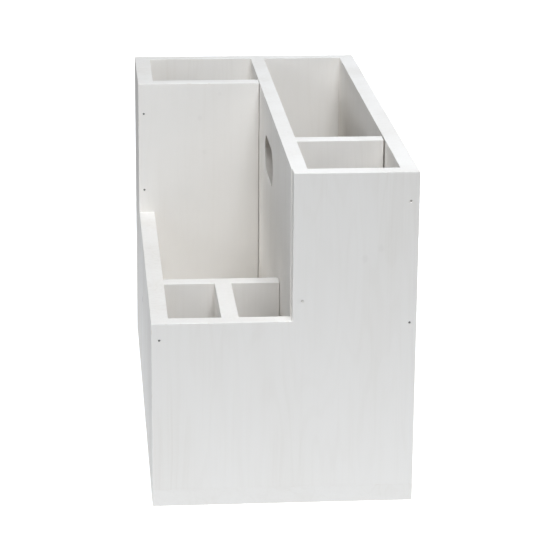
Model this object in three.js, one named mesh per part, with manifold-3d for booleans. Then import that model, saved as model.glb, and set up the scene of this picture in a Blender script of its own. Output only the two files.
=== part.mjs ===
// Desktop magazine file holder, nailed together from ten boards.
//
// Frame: millimetres, +Z up, +X to the right, +Y to the back. The origin is the middle of the
// footprint, on the surface that the holder stands on. The front panel faces -Y.
//
// Inside, dimensions are first given from the front left bottom corner, because that is how the
// boards are marked out. The whole holder is then moved so that the footprint is centred.

import * as THREE from "three";
import { mergeVertices } from "three/addons/utils/BufferGeometryUtils.js";
import Module from "manifold-3d";

const wasm = await Module();
wasm.setup();

// ---------------------------------------------------------------- driving dimensions

const WIDTH = 150;
const DEPTH = 325;
const HEIGHT = 196; // top of the tall boards
const LOW_HEIGHT = 110; // top of the low front left section
const BOARD = 10; // thickness of every board except the divider
const DIVIDER = 9; // the divider between the two sections is planed thinner

const MID_LEFT = 79; // left face of the divider
const TRAY_DEPTH = 151.5; // open tray, front to back
const FRONT_CELL_DEPTH = 65; // the three small cells behind the front panel
const SMALL_DIVIDER_LEFT = 40;

const FRONT_REVEAL = 0.5; // the step in the front panel leaves this much of the divider's end bare
const SNUG_GAP = 0.3; // cut ends that stop just short of the divider
const CROSS_GAP = 0.75; // the cross divider is cut a little short of the right side

const HANDLE_LENGTH = 60; // slot in the divider, to lift the holder by
const HANDLE_HEIGHT = 23;
const HANDLE_TOP_MARGIN = 22; // from the slot to the top edge
const HANDLE_ARC_STEPS = 12; // facets in each round end of the slot

const NAIL_LENGTH = 22;
const NAIL_SHANK_R = 0.45;
const NAIL_HEAD_R = 0.65;
const NAIL_HEAD_THICKNESS = 0.7;
const NAIL_POINT = 2; // length of the pointed end
const NAIL_SUNK = 0.5; // from the face of the board down to the head
const DRILL_OVERRUN = 1; // how far a drill form stands out of the board, to cut clean
const NAIL_SIDES = 8;
const DRILL_GAP = 0.25; // from the nail to the wall of its hole

// ---------------------------------------------------------------- places worked out from them

const FLOOR = BOARD; // the walls stand on the bottom board
const MID_RIGHT = MID_LEFT + DIVIDER;
const FRONT_STEP = MID_LEFT + FRONT_REVEAL;
const RIGHT_INNER = WIDTH - BOARD;
const BACK_INNER = DEPTH - BOARD;
const CELL_BACK = BOARD + FRONT_CELL_DEPTH; // front face of the boards behind the small cells
const TRAY_FRONT = CELL_BACK + BOARD;
const TALL_FRONT = TRAY_FRONT + TRAY_DEPTH; // front face of the tall left panel
const TALL_BACK = TALL_FRONT + BOARD;
const HANDLE_Y = DEPTH / 2; // the slot is halfway along the divider
const HANDLE_Z = HEIGHT - HANDLE_TOP_MARGIN - HANDLE_HEIGHT / 2;

const HALF_BOARD = BOARD / 2;

// The middle of each board's thickness, where nails go.
const LEFT_CORE = HALF_BOARD;
const MID_CORE = (MID_LEFT + MID_RIGHT) / 2;
const RIGHT_CORE = WIDTH - HALF_BOARD;
const CELL_BACK_CORE = CELL_BACK + HALF_BOARD;
const TALL_CORE = TALL_FRONT + HALF_BOARD;

// ---------------------------------------------------------------- materials

function paintedWood(color) {
  return new THREE.MeshStandardMaterial({ color, roughness: 0.62, metalness: 0 });
}

function nailSteel() {
  return new THREE.MeshStandardMaterial({ color: 0x8d8a84, roughness: 0.45, metalness: 0.8 });
}

// ---------------------------------------------------------------- solids and booleans

function toSolid(geometry) {
  const bare = geometry.clone();
  bare.deleteAttribute("normal");
  bare.deleteAttribute("uv");
  const merged = mergeVertices(bare);
  return new wasm.Manifold(
    new wasm.Mesh({
      numProp: 3,
      vertProperties: new Float32Array(merged.attributes.position.array),
      triVerts: new Uint32Array(merged.index.array),
    }),
  );
}

function toGeometry(solid) {
  const mesh = solid.getMesh();
  const geometry = new THREE.BufferGeometry();
  geometry.setAttribute("position", new THREE.BufferAttribute(mesh.vertProperties, mesh.numProp));
  geometry.setIndex(new THREE.BufferAttribute(mesh.triVerts, 1));
  geometry.computeVertexNormals();
  return geometry;
}

// ---------------------------------------------------------------- boards

const holder = new THREE.Group();
const boards = {};

function addBoard(name, geometry, color) {
  const board = new THREE.Mesh(geometry, paintedWood(color));
  board.name = name;
  boards[name] = board;
  holder.add(board);
  return board;
}

// A plain rectangular board from its lowest corner to its highest corner.
function flatBoard(name, low, high, color) {
  const [sizeX, sizeY, sizeZ] = high.map((value, axis) => value - low[axis]);
  const board = addBoard(name, new THREE.BoxGeometry(sizeX, sizeY, sizeZ), color);
  board.position.set(low[0] + sizeX / 2, low[1] + sizeY / 2, low[2] + sizeZ / 2);
  return board;
}

function outline(points) {
  return new THREE.Shape(points.map(([across, up]) => new THREE.Vector2(across, up)));
}

function boardFromShape(shape, thickness) {
  const settings = { depth: thickness, bevelEnabled: false, curveSegments: HANDLE_ARC_STEPS };
  return new THREE.ExtrudeGeometry(shape, settings);
}

// A board that faces sideways: its shape is drawn as (y, z), and its left face lies at x.
function sidewaysBoard(name, shape, x, thickness, color) {
  const geometry = boardFromShape(shape, thickness);
  const turn = new THREE.Matrix4().makeBasis(
    new THREE.Vector3(0, 1, 0),
    new THREE.Vector3(0, 0, 1),
    new THREE.Vector3(1, 0, 0),
  );
  geometry.applyMatrix4(turn);
  const board = addBoard(name, geometry, color);
  board.position.set(x, 0, 0);
  return board;
}

// A board that faces the front: its shape is drawn as (x, z), and its front face lies at y.
function frontwaysBoard(name, shape, y, color) {
  const geometry = boardFromShape(shape, BOARD);
  const turn = new THREE.Matrix4().makeBasis(
    new THREE.Vector3(1, 0, 0),
    new THREE.Vector3(0, 0, 1),
    new THREE.Vector3(0, -1, 0),
  );
  geometry.applyMatrix4(turn);
  const board = addBoard(name, geometry, color);
  board.position.set(0, y + BOARD, 0);
  return board;
}

// A slot with round ends, as a hole in the divider's (y, z) shape.
function handleSlot() {
  const radius = HANDLE_HEIGHT / 2;
  const reach = HANDLE_LENGTH / 2 - radius;
  const slot = new THREE.Path();
  slot.absarc(HANDLE_Y + reach, HANDLE_Z, radius, -Math.PI / 2, Math.PI / 2, false);
  slot.absarc(HANDLE_Y - reach, HANDLE_Z, radius, Math.PI / 2, (3 * Math.PI) / 2, false);
  slot.closePath();
  return slot;
}

function makeOuterBoards() {
  flatBoard("bottom_board", [0, 0, 0], [WIDTH, DEPTH, FLOOR], 0xe6e3de);
  flatBoard("back_panel", [0, BACK_INNER, FLOOR], [WIDTH, DEPTH, HEIGHT], 0xebe8e3);
  flatBoard("right_side", [RIGHT_INNER, BOARD, FLOOR], [WIDTH, BACK_INNER, HEIGHT], 0xebe8e3);

  // The left side steps up behind the tall panel.
  const leftOutline = outline([
    [BOARD, FLOOR],
    [BACK_INNER, FLOOR],
    [BACK_INNER, HEIGHT],
    [TALL_BACK, HEIGHT],
    [TALL_BACK, LOW_HEIGHT],
    [BOARD, LOW_HEIGHT],
  ]);
  sidewaysBoard("left_side", leftOutline, 0, BOARD, 0xeae7e2);

  // The front panel is one sheet, low over the left cells and full height over the right ones.
  const frontOutline = outline([
    [0, FLOOR],
    [WIDTH, FLOOR],
    [WIDTH, HEIGHT],
    [FRONT_STEP, HEIGHT],
    [FRONT_STEP, LOW_HEIGHT],
    [0, LOW_HEIGHT],
  ]);
  frontwaysBoard("front_panel", frontOutline, 0, 0xf0eeea);
}

function makeInnerBoards() {
  const dividerShape = outline([
    [BOARD, FLOOR],
    [BACK_INNER, FLOOR],
    [BACK_INNER, HEIGHT],
    [BOARD, HEIGHT],
  ]);
  dividerShape.holes.push(handleSlot());
  sidewaysBoard("mid_divider", dividerShape, MID_LEFT, DIVIDER, 0xe9e6e1);

  // The tall panel is notched at its lower left corner to sit over the low part of the left side.
  const tallOutline = outline([
    [BOARD, FLOOR],
    [MID_LEFT - SNUG_GAP, FLOOR],
    [MID_LEFT - SNUG_GAP, HEIGHT],
    [0, HEIGHT],
    [0, LOW_HEIGHT],
    [BOARD, LOW_HEIGHT],
  ]);
  frontwaysBoard("tall_panel", tallOutline, TALL_FRONT, 0xeeebe6);

  flatBoard(
    "front_cell_wall",
    [BOARD, CELL_BACK, FLOOR],
    [MID_LEFT - SNUG_GAP, TRAY_FRONT, LOW_HEIGHT],
    0xebe8e3,
  );
  flatBoard(
    "small_divider",
    [SMALL_DIVIDER_LEFT, BOARD, FLOOR],
    [SMALL_DIVIDER_LEFT + BOARD, CELL_BACK, LOW_HEIGHT],
    0xebe8e3,
  );
  flatBoard(
    "cross_divider",
    [MID_RIGHT, CELL_BACK, FLOOR],
    [RIGHT_INNER - CROSS_GAP, TRAY_FRONT, HEIGHT],
    0xebe8e3,
  );
}

// ---------------------------------------------------------------- nails

// A headed wire nail, drawn with its head at the origin and its point along +Y.
function nailGeometry() {
  const profile = [
    [0, 0],
    [NAIL_HEAD_R, 0],
    [NAIL_HEAD_R, NAIL_HEAD_THICKNESS],
    [NAIL_SHANK_R, NAIL_HEAD_THICKNESS],
    [NAIL_SHANK_R, NAIL_LENGTH - NAIL_POINT],
    [0, NAIL_LENGTH],
  ];
  return latheAlongY(profile);
}

// The space a nail needs: from outside the board's face, down past the nail's point.
function drillGeometry() {
  const headR = NAIL_HEAD_R + DRILL_GAP;
  const shankR = NAIL_SHANK_R + DRILL_GAP;
  const shoulder = NAIL_HEAD_THICKNESS + DRILL_GAP;
  const profile = [
    [0, -NAIL_SUNK - DRILL_OVERRUN],
    [headR, -NAIL_SUNK - DRILL_OVERRUN],
    [headR, shoulder],
    [shankR, shoulder],
    [shankR, NAIL_LENGTH + DRILL_GAP],
    [0, NAIL_LENGTH + DRILL_GAP],
  ];
  return latheAlongY(profile);
}

function latheAlongY(profile) {
  const points = profile.map(([radius, along]) => new THREE.Vector2(radius, along));
  return new THREE.LatheGeometry(points, NAIL_SIDES);
}

// Drives one nail through the named boards: spot is on the outer face, aim points inwards.
function driveNail(name, through, spot, aim) {
  const direction = new THREE.Vector3(...aim);
  const nail = new THREE.Mesh(nailGeometry(), nailSteel());
  nail.name = name;
  nail.position.set(...spot).addScaledVector(direction, NAIL_SUNK);
  nail.quaternion.setFromUnitVectors(new THREE.Vector3(0, 1, 0), direction);
  nail.updateMatrix();
  holder.add(nail);
  for (const boardName of through) {
    const board = boards[boardName];
    const drill = drillGeometry().applyMatrix4(nail.matrix);
    drill.translate(-board.position.x, -board.position.y, -board.position.z);
    const drilled = toSolid(board.geometry).subtract(toSolid(drill));
    board.geometry = toGeometry(drilled);
  }
}

// A row of nails through the same boards, numbered from the first spot.
function nailRow(name, through, spots, aim) {
  spots.forEach((spot, index) => driveNail(`${name}_${index + 1}`, through, spot, aim));
}

const INWARDS_FROM_FRONT = [0, 1, 0];
const INWARDS_FROM_BACK = [0, -1, 0];
const INWARDS_FROM_RIGHT = [-1, 0, 0];
const UPWARDS = [0, 0, 1];

// These nails were driven by eye, a little off the middle of the boards behind.
function nailFrontPanel() {
  const rows = [
    ["left", "left_side", [[LEFT_CORE - 0.5, 0, 100]]],
    ["mid", "mid_divider", [[MID_CORE + 1.5, 0, 122]]],
    ["right", "right_side", [[RIGHT_CORE + 1, 0, 108], [RIGHT_CORE, 0, 179]]],
  ];
  for (const [side, board, spots] of rows) {
    nailRow(`front_nail_${side}`, ["front_panel", board], spots, INWARDS_FROM_FRONT);
  }
}

function nailBackPanel() {
  const heights = [38, 108, 179];
  const rows = [
    ["left", "left_side", LEFT_CORE],
    ["mid", "mid_divider", MID_CORE],
    ["right", "right_side", RIGHT_CORE],
  ];
  for (const [side, board, x] of rows) {
    const spots = heights.map((z) => [x, DEPTH, z]);
    nailRow(`back_nail_${side}`, ["back_panel", board], spots, INWARDS_FROM_BACK);
  }
}

function nailBottomBoard() {
  const alongDepth = [50, 160, 280];
  const longBoards = [
    ["left", "left_side", LEFT_CORE],
    ["mid", "mid_divider", MID_CORE],
    ["right", "right_side", RIGHT_CORE],
  ];
  for (const [side, board, x] of longBoards) {
    const spots = alongDepth.map((y) => [x, y, 0]);
    nailRow(`bottom_nail_${side}`, ["bottom_board", board], spots, UPWARDS);
  }

  const leftCell = (BOARD + MID_LEFT) / 2;
  const rightCell = (MID_RIGHT + RIGHT_INNER) / 2;
  const ends = [leftCell, rightCell];
  const frontSpots = ends.map((x) => [x, HALF_BOARD, 0]);
  const backSpots = ends.map((x) => [x, DEPTH - HALF_BOARD, 0]);
  nailRow("bottom_nail_front", ["bottom_board", "front_panel"], frontSpots, UPWARDS);
  nailRow("bottom_nail_back", ["bottom_board", "back_panel"], backSpots, UPWARDS);

  const crossBoards = [
    ["cell_wall", "front_cell_wall", leftCell, CELL_BACK_CORE],
    ["cross_divider", "cross_divider", rightCell, CELL_BACK_CORE],
    ["tall_panel", "tall_panel", leftCell, TALL_CORE],
  ];
  for (const [place, board, x, y] of crossBoards) {
    driveNail(`bottom_nail_${place}`, ["bottom_board", board], [x, y, 0], UPWARDS);
  }
}

function nailInnerBoards() {
  const tallSpots = [125, 176].map((z) => [LEFT_CORE - 1.5, TALL_FRONT, z]);
  nailRow("tall_panel_nail", ["tall_panel", "left_side"], tallSpots, INWARDS_FROM_FRONT);

  const cellSpots = [40, 85].map((z) => [MID_RIGHT, CELL_BACK_CORE, z]);
  const trayEndSpots = [60, 150].map((z) => [MID_RIGHT, TALL_CORE, z]);
  nailRow("divider_nail_front", ["mid_divider", "front_cell_wall"], cellSpots, INWARDS_FROM_RIGHT);
  nailRow("divider_nail_back", ["mid_divider", "tall_panel"], trayEndSpots, INWARDS_FROM_RIGHT);

  const smallCore = SMALL_DIVIDER_LEFT + HALF_BOARD;
  const smallSpots = [40, 85].map((z) => [smallCore, TRAY_FRONT, z]);
  nailRow("cell_wall_nail", ["front_cell_wall", "small_divider"], smallSpots, INWARDS_FROM_BACK);

  const crossSpots = [60, 150].map((z) => [WIDTH, CELL_BACK_CORE, z]);
  nailRow("right_side_nail", ["right_side", "cross_divider"], crossSpots, INWARDS_FROM_RIGHT);
}

// ---------------------------------------------------------------- assembly

makeOuterBoards();
makeInnerBoards();
nailFrontPanel();
nailBackPanel();
nailBottomBoard();
nailInnerBoards();

// Centre the footprint on the origin.
holder.position.set(-WIDTH / 2, -DEPTH / 2, 0);

export default holder;
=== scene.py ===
"""Desktop magazine file holder in white-washed wood: the looks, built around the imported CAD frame.

Metres, +Z up. Boards and nails are rebuilt where the frame has them, with eased edges, true round
nail holes and a grained, thinly painted finish.
"""

import math

import bmesh
import bpy
from mathutils import Matrix, Quaternion, Vector
from mathutils.bvhtree import BVHTree


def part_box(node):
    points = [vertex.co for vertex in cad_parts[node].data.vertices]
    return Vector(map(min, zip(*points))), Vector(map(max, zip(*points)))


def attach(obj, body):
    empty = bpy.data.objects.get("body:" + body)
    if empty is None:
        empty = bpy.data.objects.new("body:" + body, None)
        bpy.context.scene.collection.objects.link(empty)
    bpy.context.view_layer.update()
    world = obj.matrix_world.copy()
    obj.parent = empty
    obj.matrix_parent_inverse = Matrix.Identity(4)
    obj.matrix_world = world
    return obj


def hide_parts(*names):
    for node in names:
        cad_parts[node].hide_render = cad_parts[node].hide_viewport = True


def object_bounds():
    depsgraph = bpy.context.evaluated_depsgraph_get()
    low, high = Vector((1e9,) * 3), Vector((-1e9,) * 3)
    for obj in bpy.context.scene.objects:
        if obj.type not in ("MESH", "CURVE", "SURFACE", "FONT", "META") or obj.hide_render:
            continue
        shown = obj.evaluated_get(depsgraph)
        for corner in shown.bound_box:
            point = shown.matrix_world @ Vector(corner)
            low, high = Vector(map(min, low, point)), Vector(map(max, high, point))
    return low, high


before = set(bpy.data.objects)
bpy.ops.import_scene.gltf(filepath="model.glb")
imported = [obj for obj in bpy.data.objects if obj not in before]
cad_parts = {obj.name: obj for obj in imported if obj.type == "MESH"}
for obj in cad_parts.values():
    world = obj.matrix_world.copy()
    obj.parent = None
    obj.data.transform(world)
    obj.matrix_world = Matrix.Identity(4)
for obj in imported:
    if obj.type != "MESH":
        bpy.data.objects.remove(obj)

MM = 0.001
AXES = {"x": Vector((1, 0, 0)), "y": Vector((0, 1, 0)), "z": Vector((0, 0, 1))}

cad_low, cad_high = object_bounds()

# ------------------------------------------------------------------ sizes

EXPOSED_EASE = 0.4 * MM  # rounding sanded onto an edge that a hand can reach
JOINT_EASE = 0.1 * MM  # what is left of it where boards meet flush
EASE_FADE = 1.5 * MM  # along the edge, from one to the other
EASE_SEGMENTS = 3
CORNER_ANGLE = math.radians(60)  # edges turning more than this are a board's corners
SOFT_ANGLE = math.radians(50)  # edges turning less than this are shaded as one curve
TOUCHING = 0.05 * MM  # boards closer than this are in contact
SAME_POINT = 0.001 * MM

FRONT_REVEAL = 0.5 * MM  # width of the divider's front end left bare beside the front panel's step

HANDLE_LENGTH = 60 * MM  # carry slot in the divider
HANDLE_HEIGHT = 23 * MM
HANDLE_TOP_MARGIN = 22 * MM
HANDLE_ARC_STEPS = 28
HANDLE_REACH = 0.2 * MM  # faces this close to the slot's outline are still its walls

NAIL_HEAD_RADIUS = 0.65 * MM
NAIL_SHANK_RADIUS = 0.45 * MM
NAIL_HEAD_THICKNESS = 0.7 * MM
NAIL_POINT_LENGTH = 2 * MM
NAIL_CROWN = 0.12 * MM  # how far the middle of the head stands over its rim
NAIL_SIDES = 20
NAIL_GRIP_RINGS = 5  # shallow rings pressed into the shank under the head
NAIL_RING_PITCH = 0.6 * MM
NAIL_RING_DEPTH = 0.04 * MM
NAIL_FIT = 0.05 * MM  # from the nail to the wood around it
NAIL_SUNK = 0.5 * MM  # depth of the dent that the punch leaves
NAIL_DIMPLE_RADIUS = 0.8 * MM  # mouth of that dent
NAIL_SOFT_ANGLE = math.radians(35)

# ------------------------------------------------------------------ boards: what each one is

# Thickness axis and grain axis of each board.
BOARDS = {
    "bottom_board": ("z", "y"),
    "back_panel": ("y", "z"),
    "right_side": ("x", "z"),
    "left_side": ("x", "z"),
    "front_panel": ("y", "z"),
    "mid_divider": ("x", "z"),
    "tall_panel": ("y", "z"),
    "front_cell_wall": ("y", "z"),
    "small_divider": ("x", "z"),
    "cross_divider": ("y", "z"),
}

# The materials of a board, in slot order; the last one darkens the carry slot's walls as painted shade.
PARTS = ("face", "end", "corner", "shaded_slot")

LOW_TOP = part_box("front_cell_wall")[1].z  # top of the low front left section
FRONT_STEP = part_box("mid_divider")[0].x + FRONT_REVEAL  # where the front panel becomes full height

# Nails in the front whose heads the white wash has filled.
WASHED_NAILS = ("front_nail_mid_1", "front_nail_right_2")

# A nail's name starts with its family, which says which way it was driven.
NAIL_AIMS = {
    "front_nail": AXES["y"],
    "tall_panel_nail": AXES["y"],
    "back_nail": -AXES["y"],
    "cell_wall_nail": -AXES["y"],
    "divider_nail": -AXES["x"],
    "right_side_nail": -AXES["x"],
    "bottom_nail": AXES["z"],
}

SURFACES = {
    name: BVHTree.FromObject(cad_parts[name], bpy.context.evaluated_depsgraph_get())
    for name in BOARDS
}


# ------------------------------------------------------------------ mesh helpers


def new_object(name, data):
    made = bpy.data.objects.new(name, data)
    bpy.context.scene.collection.objects.link(made)
    return made


def mesh_from(build, name):
    mesh = bpy.data.meshes.new(name)
    build.normal_update()
    build.to_mesh(mesh)
    build.free()
    return mesh


def apply_modifiers(piece):
    evaluated = piece.evaluated_get(bpy.context.evaluated_depsgraph_get())
    piece.data = bpy.data.meshes.new_from_object(evaluated)
    piece.modifiers.clear()


def subtract(piece, cutter):
    """Cuts one mesh object out of another and deletes the cutter."""
    cut = piece.modifiers.new("cut", "BOOLEAN")
    cut.operation = "DIFFERENCE"
    cut.solver = "EXACT"
    cut.object = cutter
    apply_modifiers(piece)
    bpy.data.objects.remove(cutter)


def add_prism(build, corners, thickness, near, far):
    """A closed prism: corners in the two other axes, in order, from near to far along thickness."""
    across = "xyz".index(thickness)

    def place(corner, depth):
        coordinates = list(corner)
        coordinates.insert(across, depth)
        return build.verts.new(coordinates)

    start = [place(corner, near) for corner in corners]
    end = [place(corner, far) for corner in corners]
    build.faces.new(start)
    build.faces.new(end)
    for index in range(len(corners)):
        after = (index + 1) % len(corners)
        build.faces.new((start[index], start[after], end[after], end[index]))
    bmesh.ops.recalc_face_normals(build, faces=build.faces)


def add_lathe(build, profile, place):
    """A closed turned form: (radius, along) pairs round local Z, from the axis back to the axis."""
    rings = []
    for radius, along in profile:
        if radius == 0:
            rings.append([build.verts.new(place @ Vector((0, 0, along)))])
            continue
        turns = [2 * math.pi * side / NAIL_SIDES for side in range(NAIL_SIDES)]
        points = [Vector((radius * math.cos(a), radius * math.sin(a), along)) for a in turns]
        rings.append([build.verts.new(place @ point) for point in points])
    for lower, upper in zip(rings, rings[1:]):
        for side in range(NAIL_SIDES):
            after = (side + 1) % NAIL_SIDES
            corners = [lower[side % len(lower)], lower[after % len(lower)]]
            corners += [upper[after % len(upper)], upper[side % len(upper)]]
            build.faces.new(list(dict.fromkeys(corners)))


# ------------------------------------------------------------------ boards: shapes


def outline_of(name):
    """The corners of a board's face, in the two axes other than its thickness."""
    thickness = "xyz".index(BOARDS[name][0])
    low, high = ([v for axis, v in enumerate(corner) if axis != thickness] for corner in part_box(name))
    if name == "tall_panel":  # its lower corner is cut away over the low part of the left side
        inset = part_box("left_side")[1].x
        return [
            (inset, low[1]),
            (high[0], low[1]),
            (high[0], high[1]),
            (low[0], high[1]),
            (low[0], LOW_TOP),
            (inset, LOW_TOP),
        ]
    steps = {"front_panel": FRONT_STEP, "left_side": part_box("tall_panel")[1].y}
    if name in steps:  # low on the left or in front, full height beyond the step
        return [
            (low[0], low[1]),
            (high[0], low[1]),
            (high[0], high[1]),
            (steps[name], high[1]),
            (steps[name], LOW_TOP),
            (low[0], LOW_TOP),
        ]
    return [(low[0], low[1]), (high[0], low[1]), (high[0], high[1]), (low[0], high[1])]


def handle_box():
    """Lowest and highest corner of the carry slot."""
    low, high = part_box("mid_divider")
    middle_y = (low.y + high.y) / 2
    top = high.z - HANDLE_TOP_MARGIN
    return (
        Vector((low.x, middle_y - HANDLE_LENGTH / 2, top - HANDLE_HEIGHT)),
        Vector((high.x, middle_y + HANDLE_LENGTH / 2, top)),
    )


def handle_cutter():
    """The carry slot's round-ended form, a little longer than the divider is thick."""
    low, high = handle_box()
    _, middle_y, middle_z = (low + high) / 2
    radius = HANDLE_HEIGHT / 2
    reach = HANDLE_LENGTH / 2 - radius
    corners = []
    for side, start in ((1, -math.pi / 2), (-1, math.pi / 2)):
        for step in range(HANDLE_ARC_STEPS + 1):
            turn = start + math.pi * step / HANDLE_ARC_STEPS
            y = middle_y + side * reach + radius * math.cos(turn)
            corners.append((y, middle_z + radius * math.sin(turn)))
    build = bmesh.new()
    add_prism(build, corners, "x", low.x - MM, high.x + MM)
    return new_object("handle_cutter", mesh_from(build, "handle_cutter"))


def boxes_meet(first, second):
    (low_a, high_a), (low_b, high_b) = first, second
    return all(
        low_a[axis] <= high_b[axis] + TOUCHING and low_b[axis] <= high_a[axis] + TOUCHING
        for axis in range(3)
    )


def split_at_neighbours(build, name):
    """Cuts the faces where another board starts or ends, so that each stretch of edge is its own."""
    for other in BOARDS:
        if other == name or not boxes_meet(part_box(name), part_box(other)):
            continue
        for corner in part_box(other):
            for axis in AXES.values():
                for shift in (-EASE_FADE, 0, EASE_FADE):
                    bmesh.ops.bisect_plane(
                        build,
                        geom=build.verts[:] + build.edges[:] + build.faces[:],
                        dist=SAME_POINT,
                        plane_co=corner + axis * shift,
                        plane_no=axis,
                    )


def touches_another(point, name):
    return any(
        tree.find_nearest(point, TOUCHING)[0] is not None
        for other, tree in SURFACES.items()
        if other != name
    )


def ease_edges(piece, name):
    """Rounds a board's corners: fully where free, hardly where boards meet or rest on the floor."""
    build = bmesh.new()
    build.from_mesh(piece.data)
    split_at_neighbours(build, name)
    weight = build.edges.layers.float.new("bevel_weight_edge")
    for edge in build.edges:
        if edge.calc_face_angle(0) > CORNER_ANGLE:
            middle = (edge.verts[0].co + edge.verts[1].co) / 2
            held = middle.z < TOUCHING or touches_another(middle, name)
            edge[weight] = JOINT_EASE / EXPOSED_EASE if held else 1
    build.to_mesh(piece.data)
    build.free()
    ease = piece.modifiers.new("ease", "BEVEL")
    ease.limit_method = "WEIGHT"
    ease.width = EXPOSED_EASE
    ease.segments = EASE_SEGMENTS
    ease.material = PARTS.index("corner")
    apply_modifiers(piece)


def nail_names():
    return [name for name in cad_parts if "_nail_" in name]


def nail_place(name):
    """Where a nail's head is and how it points, as a matrix that takes local +Z to its aim."""
    aim = next(aim for family, aim in NAIL_AIMS.items() if name.startswith(family))
    low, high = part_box(name)
    middle = (low + high) / 2
    half_length = abs((high - low).dot(aim)) / 2
    turned = aim.to_track_quat("Z", "Y").to_matrix().to_4x4()
    return Matrix.Translation(middle - aim * half_length) @ turned


def nail_length(name):
    low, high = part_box(name)
    return max(high - low)


def hole_cutter(name):
    """The holes of every nail that goes through a board, as one object, or None."""
    head = NAIL_HEAD_RADIUS + NAIL_FIT
    shank = NAIL_SHANK_RADIUS + NAIL_FIT
    shoulder = NAIL_HEAD_THICKNESS + NAIL_FIT
    build = bmesh.new()
    for nail in nail_names():
        if not boxes_meet(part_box(name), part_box(nail)):
            continue
        end = nail_length(nail) + NAIL_FIT
        profile = [
            (0, -2 * NAIL_SUNK),
            (NAIL_DIMPLE_RADIUS, -2 * NAIL_SUNK),
            (NAIL_DIMPLE_RADIUS, -NAIL_SUNK),
            (head, -NAIL_SUNK / 3),
            (head, shoulder),
            (shank, shoulder),
            (shank, end - NAIL_POINT_LENGTH),
            (0, end),
        ]
        add_lathe(build, profile, nail_place(nail))
    if not build.verts:
        build.free()
        return None
    bmesh.ops.recalc_face_normals(build, faces=build.faces)
    return new_object("hole_cutter", mesh_from(build, "hole_cutter"))


def is_slot_wall(face):
    """True for the divider's faces inside the carry slot."""
    low, high = handle_box()
    in_length = low.y - HANDLE_REACH < face.center.y < high.y + HANDLE_REACH
    in_height = low.z - HANDLE_REACH < face.center.z < high.z + HANDLE_REACH
    crosswise = abs(face.normal.x) < 0.5
    return in_length and in_height and crosswise


def sort_faces(mesh, name, grain):
    """Gives each flat face its material: the board's face, its end grain, or the sawn slot's walls,
    darkened with painted shade.
    """
    for face in mesh.polygons:
        if face.material_index == PARTS.index("corner"):
            continue
        # the slot walls get the material that carries the painted shade
        if name == "mid_divider" and is_slot_wall(face):
            face.material_index = PARTS.index("shaded_slot")
        elif abs(face.normal.dot(grain)) > 0.7:
            face.material_index = PARTS.index("end")
        else:
            face.material_index = PARTS.index("face")


def smooth(piece):
    """Smooth shading over the eased corners, with the flat faces kept flat."""
    piece.data.shade_smooth()
    piece.data.set_sharp_from_angle(angle=SOFT_ANGLE)
    normals = piece.modifiers.new("normals", "WEIGHTED_NORMAL")
    normals.keep_sharp = True
    apply_modifiers(piece)


def make_board(name):
    thickness, grain = BOARDS[name]
    low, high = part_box(name)
    across = "xyz".index(thickness)
    build = bmesh.new()
    add_prism(build, outline_of(name), thickness, low[across], high[across])
    piece = new_object(f"{name}_wood", mesh_from(build, f"{name}_wood"))
    for material in board_materials(name, grain):
        piece.data.materials.append(material)
    if name == "mid_divider":
        subtract(piece, handle_cutter())
    ease_edges(piece, name)
    holes = hole_cutter(name)
    if holes:
        subtract(piece, holes)
    sort_faces(piece.data, name, AXES[grain])
    smooth(piece)
    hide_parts(name)
    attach(piece, "root")


# ------------------------------------------------------------------ nails


def nail_mesh(length):
    """A wire nail with a slightly crowned head, grip rings under it and a cut point."""
    profile = [
        (0, 0),
        (NAIL_HEAD_RADIUS * 0.6, NAIL_CROWN * 0.4),
        (NAIL_HEAD_RADIUS * 0.93, NAIL_CROWN),
        (NAIL_HEAD_RADIUS, NAIL_CROWN * 1.6),
        (NAIL_HEAD_RADIUS, NAIL_HEAD_THICKNESS * 0.8),
        (NAIL_SHANK_RADIUS, NAIL_HEAD_THICKNESS),
    ]
    for ring in range(1, NAIL_GRIP_RINGS + 1):
        along = NAIL_HEAD_THICKNESS + ring * NAIL_RING_PITCH
        profile.append((NAIL_SHANK_RADIUS, along - NAIL_RING_PITCH / 4))
        profile.append((NAIL_SHANK_RADIUS - NAIL_RING_DEPTH, along))
        profile.append((NAIL_SHANK_RADIUS, along + NAIL_RING_PITCH / 4))
    profile.append((NAIL_SHANK_RADIUS, length - NAIL_POINT_LENGTH))
    profile.append((0, length))
    build = bmesh.new()
    add_lathe(build, profile, Matrix.Identity(4))
    bmesh.ops.recalc_face_normals(build, faces=build.faces)
    mesh = mesh_from(build, "wire_nail")
    mesh.shade_smooth()
    mesh.set_sharp_from_angle(angle=NAIL_SOFT_ANGLE)
    return mesh


def make_nails():
    names = nail_names()
    bare = nail_mesh(nail_length(names[0]))
    washed = bare.copy()
    bare.materials.append(steel_material("dull_nail_steel", BARE_NAIL_WASH))
    washed.materials.append(steel_material("washed_nail_steel", FILLED_NAIL_WASH))
    for name in names:
        piece = new_object(f"{name}_wire", washed if name in WASHED_NAILS else bare)
        piece.matrix_world = nail_place(name)
        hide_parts(name)
        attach(piece, "root")


# ------------------------------------------------------------------ materials


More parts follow.
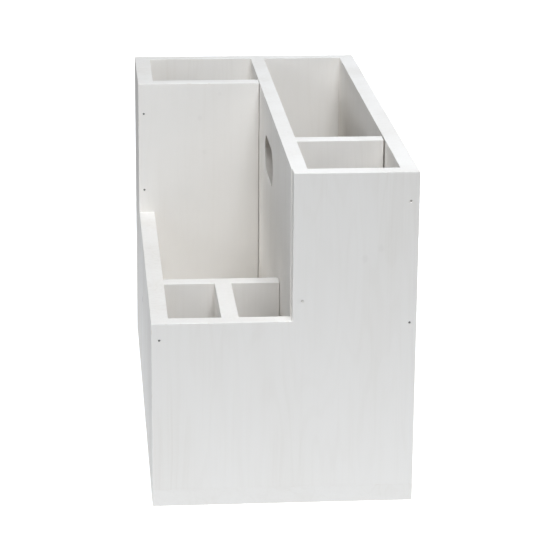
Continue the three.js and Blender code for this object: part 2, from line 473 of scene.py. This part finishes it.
class Nodes:
    """Builds one node material: each method adds a node and returns what it puts out."""

    def __init__(self, name):
        self.material = bpy.data.materials.new(name)
        self.material.use_nodes = True
        self.tree = self.material.node_tree
        self.surface = self.tree.nodes["Principled BSDF"]

    def add(self, kind, **settings):
        node = self.tree.nodes.new(kind)
        for setting, value in settings.items():
            setattr(node, setting, value)
        return node

    def feed(self, socket, value):
        """Links another node's output to a socket, or sets a constant on it."""
        if isinstance(value, bpy.types.NodeSocket):
            self.tree.links.new(value, socket)
        else:
            socket.default_value = value

    def coordinates(self, scale, offset=(0, 0, 0)):
        source = self.add("ShaderNodeTexCoord")
        mapping = self.add("ShaderNodeMapping", vector_type="POINT")
        self.feed(mapping.inputs["Vector"], source.outputs["Object"])
        mapping.inputs["Scale"].default_value = scale
        mapping.inputs["Location"].default_value = offset
        return mapping.outputs["Vector"]

    def noise(self, vector, detail=3, roughness=0.5):
        node = self.add("ShaderNodeTexNoise")
        self.feed(node.inputs["Vector"], vector)
        node.inputs["Scale"].default_value = 1
        node.inputs["Detail"].default_value = detail
        node.inputs["Roughness"].default_value = roughness
        return node.outputs["Fac"]

    def math(self, operation, first, second=0.0):
        node = self.add("ShaderNodeMath", operation=operation)
        self.feed(node.inputs[0], first)
        self.feed(node.inputs[1], second)
        return node.outputs["Value"]

    def length(self, vector):
        node = self.add("ShaderNodeVectorMath", operation="LENGTH")
        self.feed(node.inputs[0], vector)
        return node.outputs["Value"]

    def ramp(self, value, low, high, to_low=0.0, to_high=1.0):
        """Takes low..high to to_low..to_high, smoothly, and holds the ends."""
        node = self.add("ShaderNodeMapRange", interpolation_type="SMOOTHSTEP")
        settings = (("From Min", low), ("From Max", high), ("To Min", to_low), ("To Max", to_high))
        self.feed(node.inputs["Value"], value)
        for socket, number in settings:
            node.inputs[socket].default_value = number
        return node.outputs["Result"]

    def mix(self, share, first, second):
        """A colour between two: share 0 gives the first, 1 the second."""
        node = self.add("ShaderNodeMix", data_type="RGBA")
        self.feed(node.inputs["Factor"], share)
        self.feed(node.inputs[6], first)
        self.feed(node.inputs[7], second)
        return node.outputs[2]

    def bump(self, height, distance, strength, under=None):
        node = self.add("ShaderNodeBump")
        self.feed(node.inputs["Height"], height)
        node.inputs["Distance"].default_value = distance
        node.inputs["Strength"].default_value = strength
        if under is not None:
            self.feed(node.inputs["Normal"], under)
        return node.outputs["Normal"]


PAINT = (0.87, 0.838, 0.79, 1)  # the white wash where it lies thick
THIN_PAINT = (0.815, 0.775, 0.715, 1)  # where wood shows through it
GRAIN_LINE = (0.65, 0.59, 0.515, 1)  # late wood under thin paint
BARE_WOOD = (0.62, 0.50, 0.37, 1)  # rubbed through at a corner
SLOT_SHADE_WOOD = (0.56, 0.52, 0.47, 1)  # walls of the slot, darker: painted shade for the deep, narrow slot
KNOT = (0.16, 0.12, 0.09, 1)
STEEL = (0.24, 0.235, 0.23, 1)
TARNISH = (0.10, 0.09, 0.08, 1)
BARE_NAIL_WASH = 0.1  # how much of a nail the white wash covers
FILLED_NAIL_WASH = 0.85

GRAIN_STRENGTH = {"tall_panel": 0.5, "left_side": 1.6}  # how far the grain shows; 1 for the rest

# Noise scales per metre, across the grain and along it.
RING_SCALE = (42, 5)
FIBRE_SCALE = (700, 16)
PORE_SCALE = (2600, 90)
PATCH_SCALE = (30, 6)
BRUSH_SCALE = (260, 4)
RING_COUNT = 70  # how many times the rings repeat over the range of their noise
RUB_SCALE = (160, 160, 160)
TARNISH_SCALE = (2500, 2500, 900)
WASH_SCALE = (1800, 1800, 1800)
DRAWN_SCALE = (6000, 6000, 300)  # the fine lines left along drawn wire

# Heights of the relief.
GRAIN_RELIEF = 0.12 * MM
PORE_RELIEF = 0.03 * MM
DRAWN_RELIEF = 0.01 * MM

# Marks on single boards, in millimetres: how far in from the board's low corner along y or x, how
# far up, half width, half height. The last number is how dark, from 0 to 1.
MARKS = {
    "left_side": [(164.5, 59.5, 3.0, 2.8, 0.9), (30, 42, 5, 38, 0.09), (49, 50, 3.5, 30, 0.06)],
    "front_panel": [(120, 136, 2.4, 3.2, 0.04), (129, 142, 2.2, 3.0, 0.04), (84, 112, 2.4, 2.4, 0.04)],
    "tall_panel": [(40, 163, 2.0, 2.6, 0.04), (53, 179, 1.6, 2.0, 0.035), (43, 140, 2.2, 2.4, 0.035)],
}


def stretched(grain, scale):
    """A noise scale's two numbers on the three axes, for one direction of the grain."""
    across, along = scale
    return tuple(along if axis == grain else across for axis in "xyz")


def board_seed(name):
    """A place in the noise of its own for each board."""
    return 3.7 * (1 + list(BOARDS).index(name))


def mark_share(nodes, name):
    """How dark the marks of one board are at a point: 0 away from them."""
    thickness = "xyz".index(BOARDS[name][0])
    low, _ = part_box(name)
    total = 0.0
    for along, up, half_width, half_height, dark in MARKS[name]:
        centre = [low[axis] for axis in range(3)]
        sideways = 1 if thickness == 0 else 0
        centre[sideways] += along * MM
        centre[2] += up * MM
        scale = [0, 0, 1 / (half_height * MM)]
        scale[sideways] = 1 / (half_width * MM)
        offset = [-place * size for place, size in zip(centre, scale)]
        distance = nodes.length(nodes.coordinates(scale, offset))
        share = nodes.ramp(distance, 1.0, 0.35, 0.0, dark)
        total = nodes.math("MAXIMUM", share, total)
    return total


def wood_material(name, grain, part):
    """White wash over grained wood, for one of the PARTS of a board."""
    nodes = Nodes(f"{name}_{part}")
    seed = board_seed(name)
    shift = (seed, seed * 1.3, seed * 0.7)

    def grained(scale, detail, roughness=0.5):
        return nodes.noise(nodes.coordinates(stretched(grain, scale), shift), detail, roughness)

    field = grained(RING_SCALE, 2, 0.45)
    rings = nodes.math("SINE", nodes.math("MULTIPLY", field, RING_COUNT))
    ring_lines = nodes.ramp(rings, 0.1, 1.0)
    fibre = grained(FIBRE_SCALE, 4, 0.6)
    pores = grained(PORE_SCALE, 2)
    patches = grained(PATCH_SCALE, 3, 0.55)
    brushed = grained(BRUSH_SCALE, 2)

    strength = GRAIN_STRENGTH.get(name, 1.0)
    thin = nodes.ramp(patches, 0.38, 0.68, 0.0, 0.3 * strength)
    thin_colour = nodes.mix(thin, PAINT, THIN_PAINT)
    ring_share = nodes.math("MULTIPLY", ring_lines, 0.45)
    streak_share = nodes.ramp(fibre, 0.45, 0.75, 0.0, 0.55)
    lines = nodes.math("ADD", ring_share, streak_share)
    line_depth = nodes.ramp(patches, 0.3, 0.7, 0.05 * strength, 0.15 * strength)
    shown = nodes.math("MULTIPLY", lines, line_depth)
    colour = nodes.mix(shown, thin_colour, GRAIN_LINE)
    if part == "end":
        speckle = nodes.ramp(pores, 0.5, 0.8, 0.0, 0.25)
        colour = nodes.mix(speckle, colour, THIN_PAINT)
    # painted shade: the slot walls are mostly given the darker slot colour
    if part == "shaded_slot":
        colour = nodes.mix(nodes.ramp(pores, 0.2, 0.7, 0.75, 0.95), colour, SLOT_SHADE_WOOD)
    if part == "corner":
        rubbed = nodes.noise(nodes.coordinates(RUB_SCALE, shift), detail=4, roughness=0.65)
        colour = nodes.mix(nodes.ramp(rubbed, 0.55, 0.72, 0.0, 0.35), colour, BARE_WOOD)
    if name in MARKS and part == "face":
        colour = nodes.mix(mark_share(nodes, name), colour, KNOT)
    nodes.feed(nodes.surface.inputs["Base Color"], colour)

    fine_rough = nodes.ramp(fibre, 0.3, 0.8, 0.0, 0.14)
    broad_rough = nodes.ramp(patches, 0.3, 0.7, 0.48, 0.6)
    nodes.feed(nodes.surface.inputs["Roughness"], nodes.math("ADD", fine_rough, broad_rough))
    nodes.surface.inputs["Specular IOR Level"].default_value = 0.35

    raised_fibre = nodes.math("MULTIPLY", fibre, 0.7)
    raised_brushing = nodes.math("MULTIPLY", brushed, 0.6)
    relief = nodes.math("ADD", raised_fibre, raised_brushing)
    relief = nodes.math("SUBTRACT", relief, nodes.math("MULTIPLY", ring_lines, 0.25))
    coarse = nodes.bump(relief, GRAIN_RELIEF, 0.5)
    nodes.feed(nodes.surface.inputs["Normal"], nodes.bump(pores, PORE_RELIEF, 0.4, under=coarse))
    return nodes.material


def board_materials(name, grain):
    parts = PARTS if name == "mid_divider" else PARTS[:3]
    return [wood_material(name, grain, part) for part in parts]


def steel_material(name, washed):
    """Dull drawn wire, a little tarnished. washed is how much of it the white wash covers."""
    nodes = Nodes(name)
    tarnish = nodes.noise(nodes.coordinates(TARNISH_SCALE), detail=4, roughness=0.6)
    colour = nodes.mix(nodes.ramp(tarnish, 0.35, 0.7), STEEL, TARNISH)
    wash = nodes.noise(nodes.coordinates(WASH_SCALE))
    cover = nodes.ramp(wash, 0.3, 0.6, washed - 0.1, washed)
    nodes.feed(nodes.surface.inputs["Base Color"], nodes.mix(cover, colour, PAINT))
    nodes.feed(nodes.surface.inputs["Metallic"], nodes.math("SUBTRACT", 0.9, cover))
    nodes.feed(nodes.surface.inputs["Roughness"], nodes.ramp(tarnish, 0.3, 0.7, 0.38, 0.62))
    drawn = nodes.noise(nodes.coordinates(DRAWN_SCALE), detail=2)
    nodes.feed(nodes.surface.inputs["Normal"], nodes.bump(drawn, DRAWN_RELIEF, 0.5))
    return nodes.material


# ------------------------------------------------------------------ camera, floor and light

CAMERA_AIM = Vector((0.0086, 0.0, 0.0877))
CAMERA_DISTANCE = 1.438  # metres
CAMERA_AZIMUTH = -4.98  # degrees round from the front, to the left
CAMERA_ELEVATION = 17.0
CAMERA_ROLL = 0.456
CAMERA_LENS = 148.5  # millimetres
CAMERA_SENSOR = 36


def make_camera():
    azimuth = math.radians(CAMERA_AZIMUTH)
    elevation = math.radians(CAMERA_ELEVATION)
    level = math.cos(elevation)
    back = Vector((math.sin(azimuth) * level, -math.cos(azimuth) * level, math.sin(elevation)))
    camera = new_object("camera", bpy.data.cameras.new("camera"))
    camera.data.lens = CAMERA_LENS
    camera.data.sensor_width = CAMERA_SENSOR
    camera.location = CAMERA_AIM + back * CAMERA_DISTANCE
    roll = Quaternion((0, 0, 1), math.radians(CAMERA_ROLL))
    camera.rotation_mode = "QUATERNION"
    camera.rotation_quaternion = (-back).to_track_quat("-Z", "Y") @ roll
    bpy.context.scene.camera = camera


FLOOR_HALF = 8.0  # metres from the middle to each edge
FLOOR_DROP = 0.1 * MM  # keeps the floor off the bottom board's face
FLOOR_WHITE = (0.95, 0.93, 0.90, 1)
HAZE_START = 0.5  # metres from the middle, where the floor starts to fade into the white surround
HAZE_END = 1.3
HAZE_NEAR = 0.74  # how strongly the floor glows before it fades, and after
HAZE_FAR = 1.1
SURROUND_WHITE = 1.1

# Soft boxes round the holder: degrees round from the front to the right, degrees up, and watts.
SOFT_BOXES = {
    "key_above_front": (0, 61, 32.5),
    "key_right": (25, 55, 6.6),
    "fill_front": (0, 10, 2.6),
    "fill_left": (-80, 28, 12.8),
    "fill_right": (85, 9, 10.0),
    "fill_back": (165, 8, 12.5),
}
SOFT_BOX_DISTANCE = 2.0
SOFT_BOX_SIDE = 0.8
SOFT_BOX_AIM = Vector((0, 0, 0.1))
FLOOR_GLOW_MARGIN = 0.3  # metres of lit floor on every side of the holder
FLOOR_GLOW_POWER = 2.25
FLOOR_GLOW_DROP = 1.2 * MM  # closer to the boards than this, the glow on them turns dark and uneven
LIGHT_COLOUR = (0.905, 0.945, 1.0)


def make_floor():
    """A pale floor that catches shadows. The light off it comes from the floor glow instead."""
    build = bmesh.new()
    corners = []
    for x, y in ((-1, -1), (1, -1), (1, 1), (-1, 1)):
        corners.append(build.verts.new((x * FLOOR_HALF, y * FLOOR_HALF, -FLOOR_DROP)))
    build.faces.new(corners)
    floor = new_object("floor", mesh_from(build, "floor"))
    floor.visible_diffuse = False
    floor.visible_glossy = False
    floor.visible_shadow = False  # the glow shines up through it
    nodes = Nodes("pale_floor")
    nodes.surface.inputs["Base Color"].default_value = FLOOR_WHITE
    nodes.surface.inputs["Roughness"].default_value = 0.9
    nodes.surface.inputs["Specular IOR Level"].default_value = 0.1
    nodes.surface.inputs["Emission Color"].default_value = (1, 1, 1, 1)
    away = nodes.length(nodes.coordinates((1, 1, 1)))
    haze = nodes.ramp(away, HAZE_START, HAZE_END, HAZE_NEAR, HAZE_FAR)
    nodes.feed(nodes.surface.inputs["Emission Strength"], haze)
    floor.data.materials.append(nodes.material)


def add_lamp(name, place, aim, size, power):
    data = bpy.data.lights.new(name, "AREA")
    data.shape = "RECTANGLE"
    data.size, data.size_y = size
    data.energy = power
    data.color = LIGHT_COLOUR
    lamp = new_object(name, data)
    lamp.location = place
    lamp.rotation_euler = (aim - place).to_track_quat("-Z", "Y").to_euler()
    lamp.visible_camera = False


def soft_box_place(round_from_front, up):
    """Where a soft box stands: degrees round from the front to the right, and degrees up."""
    turn = math.radians(round_from_front)
    rise = math.radians(up)
    level = Vector((math.sin(turn), -math.cos(turn), 0))
    towards = level * math.cos(rise) + AXES["z"] * math.sin(rise)
    return SOFT_BOX_AIM + SOFT_BOX_DISTANCE * towards


def make_lights():
    """The soft boxes, and a lamp under the floor that stands in for the light coming off it."""
    soft_box_size = (SOFT_BOX_SIDE, SOFT_BOX_SIDE)
    for name, (round_from_front, up, power) in SOFT_BOXES.items():
        place = soft_box_place(round_from_front, up)
        add_lamp(name, place, SOFT_BOX_AIM, soft_box_size, power)
    footprint = cad_high - cad_low
    glow_size = (footprint.x + 2 * FLOOR_GLOW_MARGIN, footprint.y + 2 * FLOOR_GLOW_MARGIN)
    glow_place = Vector((0, 0, -FLOOR_GLOW_DROP))
    add_lamp("floor_glow", glow_place, AXES["z"], glow_size, FLOOR_GLOW_POWER)


def make_surround():
    """A white surround above the floor, seen past the holder but giving it no light of its own."""
    world = bpy.data.worlds.new("studio")
    world.use_nodes = True
    background = world.node_tree.nodes["Background"]
    background.inputs["Color"].default_value = (1, 1, 1, 1)
    background.inputs["Strength"].default_value = SURROUND_WHITE
    rays = world.cycles_visibility
    rays.diffuse = rays.glossy = rays.transmission = rays.scatter = False
    bpy.context.scene.world = world
    bpy.context.scene.view_settings.view_transform = "Standard"


make_camera()
for board in BOARDS:
    make_board(board)
make_nails()
make_floor()
make_lights()
make_surround()
